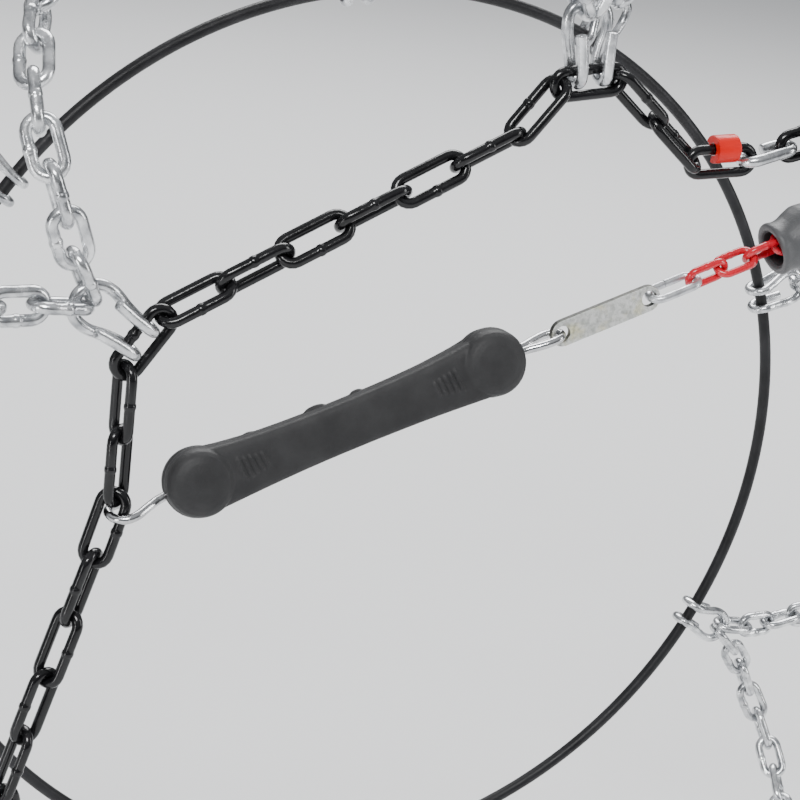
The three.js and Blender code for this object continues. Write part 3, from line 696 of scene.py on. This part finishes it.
def dome(end):
    """A bulb, turned from a profile that runs from the middle of its front to that of its back."""
    profile = [(0.02, -9.7), (4, -9.6), (7.5, -9.25), (10, -8.5), (11.7, -7.1), (12.6, -5.2),
               (13, -2.5), (13, -0.7), (13.4, -0.35), (13.4, 0.35), (13, 0.7), (13, 3), (12.6, 5.6),
               (11.2, 7.4), (8, 8.2), (0.02, 8.4)]
    return turned_shape(profile, on_line(end), in_rubber(0, 1, 0) - in_rubber(0, 0, 0), 64)


# Near is 0 in the middle of the strap and 1 at each bulb.
strap, flange = [], []
for along in np.linspace(bulb_inset, tensioner_length - bulb_inset, 60):
    near = abs(along - tensioner_length / 2) / (tensioner_length / 2 - bulb_inset)
    widening = near ** 2.4
    strap.append(oval(along, strap_half + 3.0 * widening, strap_depth + 1.0 * widening, -0.6,
                      strap_drop * (1 - near ** 4), 5))
    flange.append(oval(along, 9.9 + 2.4 * near ** 2.2, 1.1, 5.6, 2 * strap_drop * (1 - near ** 4), 5))
nubs = [loft([oval(along + reach * step, 1.7 * math.sqrt(max(0.02, 1 - step ** 2)), 1.1, 5.6, high, 2.4)
              for step in np.linspace(-1, 1, 9)])
        for along, reach, high in ((37, 3.4, 7.6), (64, 4.6, 7.5), (81, 3, 7.2))]
rubber_mesh = fuse("tensioner_rubber", [
    dome(bulb_inset), dome(tensioner_length - bulb_inset), loft(strap), loft(flange), *nubs], voxel, 5)

# The ribs get shorter away from their bulb, and stand on the strap's front only.
rib_count, rib_first, rib_pitch, rib_width, rib_height = 5, 15.6, 2.3, 0.58, 0.95
count = len(rubber_mesh.vertices)
places = np.empty(count * 3)
rubber_mesh.vertices.foreach_get("co", places)
places = places.reshape(-1, 3)
away = (places - line_start) @ line_way / mm
face = in_rubber(0, -1, 0) - in_rubber(0, 0, 0)
above = (places - line_start) @ (in_rubber(0, 0, 1) - in_rubber(0, 0, 0)) / mm ** 2
is_front = np.clip(((places - line_start) @ face / mm ** 2 - 3.5) / 1.5, 0, 1)
lift = np.zeros(count)
for bulb, direction in ((bulb_inset, 1), (tensioner_length - bulb_inset, -1)):
    for rib in range(rib_count):
        centre = bulb + direction * (rib_first + rib_pitch * rib)
        length = 4.4 - 0.42 * rib
        across = np.exp(-((away - centre + 0.1 * above) / rib_width) ** 2)
        ends = 1 / (1 + np.exp((np.abs(above + 0.8) - length) / 0.35))
        lift += rib_height * across * ends
places += face * (lift * is_front)[:, None]
rubber_mesh.vertices.foreach_set("co", places.reshape(-1))
rubber_mesh.update()

rubber = new_material("charcoal_rubber", "rubber", Specular_IOR_Level=0.32)
dress(rubber, (0.019, 0.019, 0.020), (0.027, 0.027, 0.028), (0.48, 0.66),
      {"Patch Size": 110.0, "Speck Size": 1100.0, "Scratch Size": 90.0, "Relief": 0.16})
tensioner = bpy.data.objects.new("tensioner_rubber", rubber_mesh)
bpy.context.scene.collection.objects.link(tensioner)
rubber_mesh.materials.append(rubber)
rubber_mesh.shade_smooth()
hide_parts("rubber_tensioner")
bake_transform(tensioner)


# ---- Tensioner wires --------------------------------------------------------------------
# Bright drawn wire, moulded into the bulbs. On the left it is a hook round a side link's bar,
# and on the right a narrow loop of two bars through the adjuster plate's hole.

eye_wire, hook_wire = 3.2 * mm, 3.4 * mm
hook_points = [(11, 0, 0), (4, 0, 0), (-3, -1.2, 0), (-9, -4.4, 0), (-13, -6.6, 0), (-17, -7, 0.4),
               (-20.3, -4.8, 1.2), (-21.4, -1.2, 1.8), (-21, 2.4, 1.9), (-18.4, 5, 1.4),
               (-13.5, 5.6, 0.5)]
hook_line = smooth_route([on_line(*point) for point in hook_points], 0.8 * mm)
forge_piece("tensioner_hook_wire", [bend_wire(hook_line, hook_wire / 2, line_up)], bright_wire,
            "root", "tensioner_hook")
eye_points = [(134, 2), (147, 2), (152, 3.4), (157, 4.2), (161.2, 3.2), (162.9, 0)]
eye_route = [on_line(along, -deep) for along, deep in eye_points]
eye_route += [on_line(along, deep) for along, deep in eye_points[-2::-1]]
forge_piece("tensioner_eye_wire", [bend_wire(smooth_route(eye_route, 0.7 * mm), eye_wire / 2, line_up)],
            bright_wire, "tension_line", "tensioner_eye")


# ---- Adjuster plate ---------------------------------------------------------------------
# A stamped steel strap with round ends and a hole at each end. The zinc has a pale yellow
# tinge, cloudy mottling and small crystals, and the stamped edge is darker.

plate_start, plate_length, plate_width = 158.5, 47.5, 10.5
plate_hole, plate_thickness, plate_edge = 3.15, 2.5, 0.3


def stamp(name, outlines, thickness, edge, centre, x, y, material, body, *nodes):
    """A flat piece with rounded edges, cut to the first outline, with the others as its holes."""
    shape = bpy.data.curves.new(name, "CURVE")
    shape.dimensions, shape.fill_mode = "2D", "BOTH"
    shape.extrude = (thickness / 2 - edge) * mm
    shape.bevel_depth, shape.bevel_resolution, shape.offset = edge * mm, 3, -edge * mm
    for outline in outlines:
        spline = shape.splines.new("POLY")
        spline.points.add(len(outline) - 1)
        for corner, (px, py) in zip(spline.points, outline):
            corner.co = (px * mm, py * mm, 0, 1)
        spline.use_cyclic_u = True
    blank = bpy.data.objects.new(name, shape)
    bpy.context.scene.collection.objects.link(blank)
    x, y = Vector(x).normalized(), Vector(y).normalized()
    blank.matrix_world = Matrix.Translation(Vector(centre)) @ Matrix(
        (x, y, x.cross(y))).transposed().to_4x4()
    bpy.context.view_layer.update()
    mesh = bpy.data.meshes.new_from_object(blank.evaluated_get(bpy.context.evaluated_depsgraph_get()))
    mesh.transform(blank.matrix_world)
    bpy.data.objects.remove(blank)
    work = bmesh.new()
    work.from_mesh(mesh)
    bmesh.ops.remove_doubles(work, verts=work.verts, dist=0.002 * mm)
    bmesh.ops.recalc_face_normals(work, faces=work.faces)
    work.to_mesh(mesh)
    work.free()
    return hand_over(name, mesh, material, body, *nodes, sharp=50)


def arc(x, y, radius, start, end, steps):
    return [(x + radius * math.cos(a), y + radius * math.sin(a))
            for a in np.radians(np.linspace(start, end, steps))]


yellow_zinc = new_material("yellow_zinc", "yellow_zinc", Metallic=0.8)
dress(yellow_zinc, (0.44, 0.45, 0.42), (0.70, 0.70, 0.67), (0.28, 0.5),
      {"Patch Size": 620.0, "Speck Size": 1300.0, "Scratch Size": 380.0, "Relief": 0.4},
      spread=(0.34, 0.6))
tree = yellow_zinc.node_tree
crystal = add_node(tree, "ShaderNodeTexVoronoi", [("Scale", 780.0), ("Randomness", 1.0)])
stain = add_node(tree, "ShaderNodeTexNoise", [("Scale", 240.0), ("Detail", 6.0)])
tinge = colour_between(tree, stain.outputs["Fac"], (0.95, 0.955, 0.97), (0.96, 0.92, 0.66), 0.52, 0.68)
flecked = add_node(tree, "ShaderNodeMix", data_type="RGBA", blend_type="MULTIPLY")
shade = tree.nodes["Principled BSDF"].inputs["Base Color"]
tree.links.new(shade.links[0].from_socket, flecked.inputs["A"])
tree.links.new(tinge, flecked.inputs["B"])
flecked.inputs["Factor"].default_value = 1.0
spark = add_node(tree, "ShaderNodeMix", data_type="RGBA", blend_type="OVERLAY")
tree.links.new(flecked.outputs["Result"], spark.inputs["A"])
tree.links.new(colour_between(tree, crystal.outputs["Color"], (0.42, 0.42, 0.42), (0.6, 0.6, 0.6)),
               spark.inputs["B"])
spark.inputs["Factor"].default_value = 0.6
lie = add_node(tree, "ShaderNodeSeparateXYZ", [
    ("Vector", add_node(tree, "ShaderNodeTexCoord").outputs["Normal"])])
faced = add_node(tree, "ShaderNodeMath", [(0, lie.outputs["Y"])], operation="ABSOLUTE")
edged = add_node(tree, "ShaderNodeMix", data_type="RGBA", blend_type="MULTIPLY")
tree.links.new(spark.outputs["Result"], edged.inputs["A"])
tree.links.new(colour_between(tree, faced.outputs["Value"], (0.16, 0.16, 0.15), (1, 1, 1), 0.3, 0.75),
               edged.inputs["B"])
edged.inputs["Factor"].default_value = 1.0
tree.links.new(edged.outputs["Result"], shade)

reach = plate_length / 2 - plate_width / 2
plate_line = arc(reach, 0, plate_width / 2, -90, 90, 20) + arc(-reach, 0, plate_width / 2, 90, 270, 20)
plate_holes = [arc(side * (reach + 0.5), 0, plate_hole, 360, 0, 29)[:-1] for side in (-1, 1)]
stamp("adjuster_plate_steel", [plate_line, *plate_holes], plate_thickness, plate_edge,
      on_line(plate_start + plate_length / 2), line_way, line_up, yellow_zinc,
      "adjuster_plate", "adjuster_plate")


# ---- Repair link and red chain ----------------------------------------------------------
# The repair link is cold-bent frosted wire, and the cut in its upper bar is pressed shut.
# The red links are smaller welded links with a thick glossy coating that fills their corners.

repair_inside, repair_length, red_wire, red_inside, red_pitch = 5.2, 17.6, 3.0, 4.7, 13.0
repair_middle, red_first, red_play, cut = 212.5, 227.5, 0.3, 0.5

half = (repair_length - repair_inside) / 2
bend = (repair_inside + eye_wire / mm) / 2
repair_line = [(-1.5 - cut, bend), (-2.4, bend), (-3.4, bend),
               *arc(-half, 0, bend, 90, 270, 15), (-half / 2, -bend), (0, -bend), (half / 2, -bend),
               *arc(half, 0, bend, -90, 90, 15), (3, bend), (1, bend), (-0.5, bend), (-1.5, bend)]
repair_face = turned(line_way, -78)
repair_side = np.cross(line_way, repair_face)
repair_side *= np.sign(repair_side @ flat(0, 1, 0))
repair_route = [on_line(repair_middle + x) + repair_side * y * mm for x, y in repair_line]
frosted = new_material("frosted_zinc", "bright_wire", Metallic=0.85)
dress(frosted, (0.5, 0.51, 0.53), (0.72, 0.73, 0.75), (0.24, 0.42),
      {"Patch Size": 200.0, "Speck Size": 900.0, "Scratch Size": 420.0, "Relief": 0.12})
forge_piece("repair_link_wire", [bend_wire(smooth_route(repair_route, 0.6 * mm), eye_wire / 2,
                                           repair_face)], frosted, "tension_line", "repair_link")

red_enamel = new_material("red_enamel", "red_enamel", Coat_Weight=0.35, Coat_Roughness=0.12)
dress(red_enamel, (0.52, 0.004, 0.016), (0.60, 0.007, 0.022), (0.22, 0.32),
      {"Patch Size": 120.0, "Speck Size": 500.0, "Scratch Size": 160.0, "Relief": 0.06})
for i, (turn, body) in enumerate([(22, "red_link_1"), (-56, "tension_line"), (42, "red_link_3"),
                                  (-38, "tension_line")]):
    centre = red_first + red_pitch * i
    ends = [on_line(centre + side * (red_pitch + red_play) / 2) for side in (-1, 1)]
    link = forge_link(*ends, turned(line_way, turn), red_wire * mm, red_inside * mm, 0.08)
    forge_piece(f"red_link_{i + 1}_steel", [link], red_enamel, body, f"red_link_{i + 1}")


# ---- Ratchet ----------------------------------------------------------------------------
# Two moulded grey halves riveted together round the take-up roller, with a parting line
# between them. The red chain goes in through a dark bush in the flared mouth.

mouth, disc_centre = (257.0, 0, -1.1), 294.0
roller_drop, lever_along, lever_drop = 17.3, 286.0, 30.05
slot_along, slot_drop, slot_half = 290.0, 36.05, 2.8

grey_plastic = new_material("grey_plastic", "grey_plastic", Specular_IOR_Level=0.45)
dress(grey_plastic, (0.055, 0.056, 0.059), (0.085, 0.087, 0.09), (0.34, 0.5),
      {"Patch Size": 30.0, "Speck Size": 1400.0, "Scratch Size": 200.0, "Relief": 0.22})
dark_plastic = new_material("dark_plastic", "dark_plastic", Specular_IOR_Level=0.4)
dress(dark_plastic, (0.018, 0.018, 0.020), (0.04, 0.04, 0.043), (0.4, 0.6),
      {"Patch Size": 40.0, "Speck Size": 1200.0, "Scratch Size": 200.0, "Relief": 0.2})

housing_voxel = 0.5 * mm
hub = on_line(disc_centre, 0, -roller_drop / 2)
puck = [(0.02, -10.6), (9, -10.9), (11, -11), (18, -11), (21.5, -10.6), (23.8, -9.2), (24.9, -6.6),
        (25, -3), (25, -0.5), (24.5, -0.35), (24.5, 0.35), (25, 0.5), (25, 3), (24.9, 6.6),
        (23.8, 9.2), (21.5, 10.6), (18, 11), (0.02, 11)]
flare = [(7.6, 0.4), (8.2, 0), (9.9, 0), (10.5, 0.5), (10.7, 1.6), (10.3, 3.2), (10.2, 5), (10.7, 7.5),
         (12.0, 10.5), (13.2, 14), (13.0, 18), (7.6, 18)]
bore = [(0.02, 6), (7.45, 6), (7.45, 30), (0.02, 30)]
room_inside = [(0.02, -7.8), (20.5, -7.8), (20.5, 7.8), (0.02, 7.8)]
slot_outline = [(-9, -11), (9, -11), (9, 11), (-9, 11)]
lever_slot = [[on_line(slot_along + x, deep, z - slot_drop) for x, z in slot_outline]
              for deep in (-slot_half, slot_half)]
ratchet_mesh = fuse("ratchet_housing", [
    turned_shape(puck, hub, flat(0, 1, 0), 96),
    turned_shape(flare, on_line(*mouth), line_way, 64)], housing_voxel, 4, [
    turned_shape(bore, on_line(*mouth), line_way, 64),
    turned_shape(room_inside, hub, flat(0, 1, 0), 64), loft(lever_slot)])
hand_over("ratchet_housing", ratchet_mesh, grey_plastic, "root",
          "ratchet_housing_front", "ratchet_housing_back", sharp=75)
bush = [(6.9, 1.6), (7.1, 0.9), (7.5, 0.7), (7.9, 1.2), (7.9, 15), (6.9, 15)]
forge_piece("mouth_bush", [turned_shape(bush, on_line(*mouth), line_way, 48)], dark_plastic,
            "root", "entry_bush")
roller = chamfered([(2.9, -6), (10.8, -6), (10.8, -3.4), (8.4, -2.2), (8.4, 2.2), (10.8, 3.4),
                    (10.8, 6), (2.9, 6)])
forge_piece("take_up_roller", [turned_shape(roller, on_line(disc_centre, 0, -roller_drop),
                                            flat(0, 1, 0))], dark_plastic, "chain_roller",
            "chain_roller")
for name, node, along, drop, head, shank in (
        ("roller_rivet", "roller_axle", disc_centre, roller_drop, 4.6, 2.6),
        ("lever_rivet", "lever_pin", lever_along, lever_drop, 2.6, 1.8)):
    rivet = [(0.02, -11.5), (head * 0.6, -11.4), (head * 0.93, -11), (head, -10.4), (head, -9.4),
             (shank, -9.4), (shank, 9.4), (head, 9.4), (head, 10.6), (head * 0.9, 11), (0.02, 11)]
    forge_piece(name, [turned_shape(rivet, on_line(along, 0, -drop), flat(0, 1, 0))], bright_wire,
                "root", node)
red_plastic = new_material("red_plastic", "red_plastic", Specular_IOR_Level=0.3)
dress(red_plastic, (0.58, 0.004, 0.001), (0.66, 0.008, 0.002), (0.28, 0.40),
      {"Patch Size": 50.0, "Speck Size": 900.0, "Scratch Size": 60.0, "Relief": 0.05})
lever_line = [*arc(0, 0, 3.4, 10, 170, 14), (-3.4, -2), (-1.5, -10), (5.5, -11.5), (6, -8.5), (3.2, -5)]
stamp("lever_grip", [lever_line, arc(0, 0, 2.1, 360, 0, 21)[:-1]], 5, 0.5,
      on_line(lever_along, 0, -lever_drop), line_way, line_up, red_plastic,
      "release_lever", "release_lever")


# ---- Closure ----------------------------------------------------------------------------
# A level black link with a red plastic clip on its upper bar, which marks the closing point.
# A bright open hook joins it to the next links. The loose black link is the ratchet's anchor.

clip_outer, clip_inner, clip_length, clip_opening, clip_turn = 5.4, 2.5, 9.5, 50, 205

close_up = np.cross(close_way, flat(0, 1, 0))
close_up *= np.sign(close_up[2])
forge_piece("closing_link_steel", [forge_link(close_left, close_right, front, side_wire, side_inside)],
            black_enamel, "root", "closing_link")
clip_middle = flat(*joints["clip_turn"]["pos_m"])
outer_arc = arc(0, 0, clip_outer, clip_opening, 360 - clip_opening, 40)
inner_arc = arc(0, 0, clip_inner, 360 - clip_opening, clip_opening, 30)
clip_section = np.array(outer_arc + inner_arc)
steps = clip_length / 2 - np.array([0, 0.2, 0.6])
steps = np.concatenate([-steps, steps[::-1]])
shrink = [0.93, 0.975, 1, 1, 0.975, 0.93]
turn = math.radians(clip_turn)
clip_x = front * math.cos(turn) + close_up * math.sin(turn)
clip_y = np.cross(close_way, clip_x)
rings = []
for step, scale in zip(steps, shrink):
    reach_in = (clip_outer + clip_inner) / 2
    radii = np.linalg.norm(clip_section, axis=1)[:, None]
    ring = clip_section / radii * (reach_in + (radii - reach_in) * scale)
    rings.append(clip_middle + close_way * step * mm + (ring[:, :1] * clip_x + ring[:, 1:] * clip_y) * mm)
forge_piece("marker_clip_plastic", [loft(rings)], red_plastic, "marker_clip", "marker_clip")

closing_length, closing_inside, closing_inner_length = 17, 5.6, 16.4
hook_way = unit(flat(0.955, 0, 0.296))
closing_middle = close_right + hook_way * closing_inner_length / 2 * mm
half = (closing_length - closing_inside) / 2
bend = (closing_inside + tread_wire / mm) / 2
closing_line = [(1.3, bend), (3, bend + 0.1), *arc(half, 0, bend, 85, -90, 15), (2, -bend), (-2, -bend),
                *arc(-half, 0, bend, 270, 92, 15), (-3.3, bend + 0.4)]
closing_route = [closing_middle + (hook_way * x + flat(0, 1, 0) * y) * mm for x, y in closing_line]
forge_piece("closing_hook_wire", [bend_wire(smooth_route(closing_route, 0.7 * mm), tread_wire / 2,
                                            flat(0, 0, 1))], zinc, "closing_hook", "closing_hook")
anchor_y = side_y - 9 * mm  # in front of the side chain
anchor_left = flat(62, 0, 221) * mm + flat(0, anchor_y, 0)
anchor_right = flat(81, 0, 206.5) * mm + flat(0, anchor_y, 0)
forge_piece("anchor_link_steel", [forge_link(anchor_left, anchor_right,
                                             turned(anchor_right - anchor_left, 20), side_wire,
                                             side_inside)], black_enamel, "root", "anchor_link")
forge_piece("side_chain_3", [
    *side_links(close_right + hook_way * closing_inner_length * mm, held_left[2], [0, 90]),
    *side_links(held_left[2], held_right[2], [0])], black_enamel, "root", "side_run_3")


# ---- Floor --------------------------------------------------------------------------------
# A wide pale matt floor, which the chain's lowest links stand on. Its paint is faintly
# uneven, so that it doesn't look like a sheet of one colour.

floor_size = 5.0
floor_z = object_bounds()[0][2]
floor_mesh = bpy.data.meshes.new("floor")
floor_mesh.from_pydata(
    [(x, y, floor_z) for x, y in ((-floor_size, -floor_size), (floor_size, -floor_size),
                                  (floor_size, 2 * floor_size), (-floor_size, 2 * floor_size))],
    [], [(0, 1, 2, 3)])
floor = bpy.data.objects.new("floor", floor_mesh)
bpy.context.scene.collection.objects.link(floor)
floor_paint = new_material("floor_paint", Roughness=0.85)
grain = add_node(floor_paint.node_tree, "ShaderNodeTexNoise", [("Scale", 3.0), ("Detail", 6.0)])
floor_paint.node_tree.links.new(
    colour_between(floor_paint.node_tree, grain.outputs["Fac"], (0.78, 0.785, 0.79), (0.82, 0.82, 0.825)),
    floor_paint.node_tree.nodes["Principled BSDF"].inputs["Base Color"])
floor_mesh.materials.append(floor_paint)
